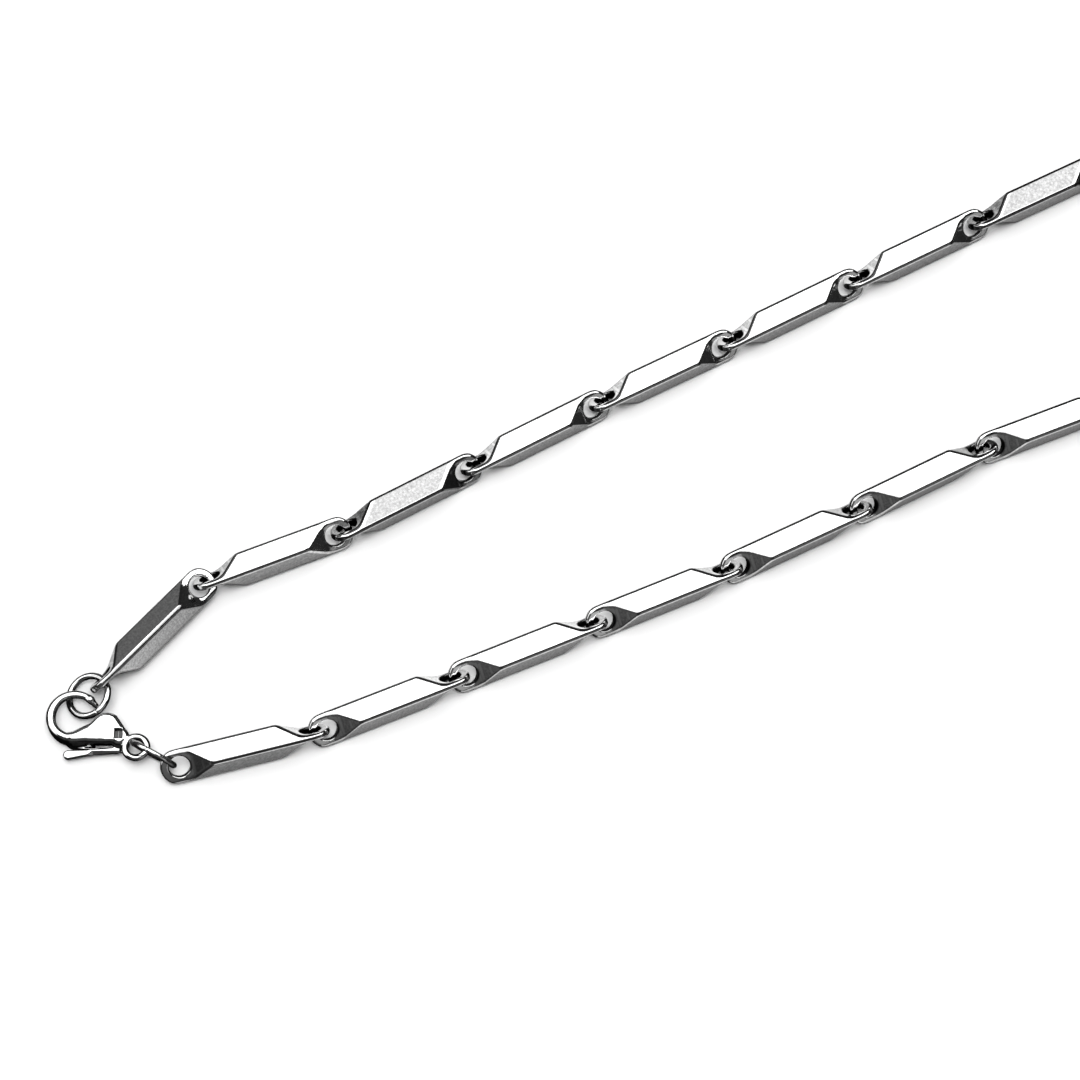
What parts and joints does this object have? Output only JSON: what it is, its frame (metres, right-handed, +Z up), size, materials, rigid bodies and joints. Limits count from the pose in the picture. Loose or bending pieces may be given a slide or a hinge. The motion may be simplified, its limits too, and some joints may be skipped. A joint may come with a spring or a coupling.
{
  "type": "bar chain necklace",
  "caption": "Closed necklace of polished square bar links, joined eye in eye, with a lobster claw clasp and two rings.",
  "frame": {"origin": "centre of the necklace's bounding box, on the surface it lies on", "axes": "+Z up from the surface; +X to the right, along the longer way across the necklace as it lies; +Y away from the viewer"},
  "size_m": [0.2176, 0.125, 0.0057],
  "materials": {
    "steel": "polished"
  },
  "bodies": {
    "necklace": {"link_01": "steel", "link_02": "steel", "link_03": "steel", "link_04": "steel", "link_05": "steel", "link_06": "steel", "link_07": "steel", "link_08": "steel", "link_09": "steel", "link_10": "steel", "link_11": "steel", "link_12": "steel", "link_13": "steel", "link_14": "steel", "link_15": "steel", "link_16": "steel", "link_17": "steel", "link_18": "steel", "link_19": "steel", "link_20": "steel", "link_21": "steel", "link_22": "steel", "link_23": "steel", "link_24": "steel", "link_25": "steel", "link_26": "steel", "link_27": "steel", "link_28": "steel", "link_29": "steel", "link_30": "steel", "link_31": "steel", "jump_ring": "steel", "link_ring": "steel", "clasp_body": "steel"},
    "lever": {"clasp_lever": "steel"}
  },
  "joints": [
    {"name": "lever_hinge", "type": "hinge", "parent": "necklace", "child": "lever", "pos_m": [-0.10097, -0.0571, 0.0009], "axis": [0, 0, 1], "range_deg": [0, 25], "stiffness_Nm_per_rad": 0.002}
  ]
}
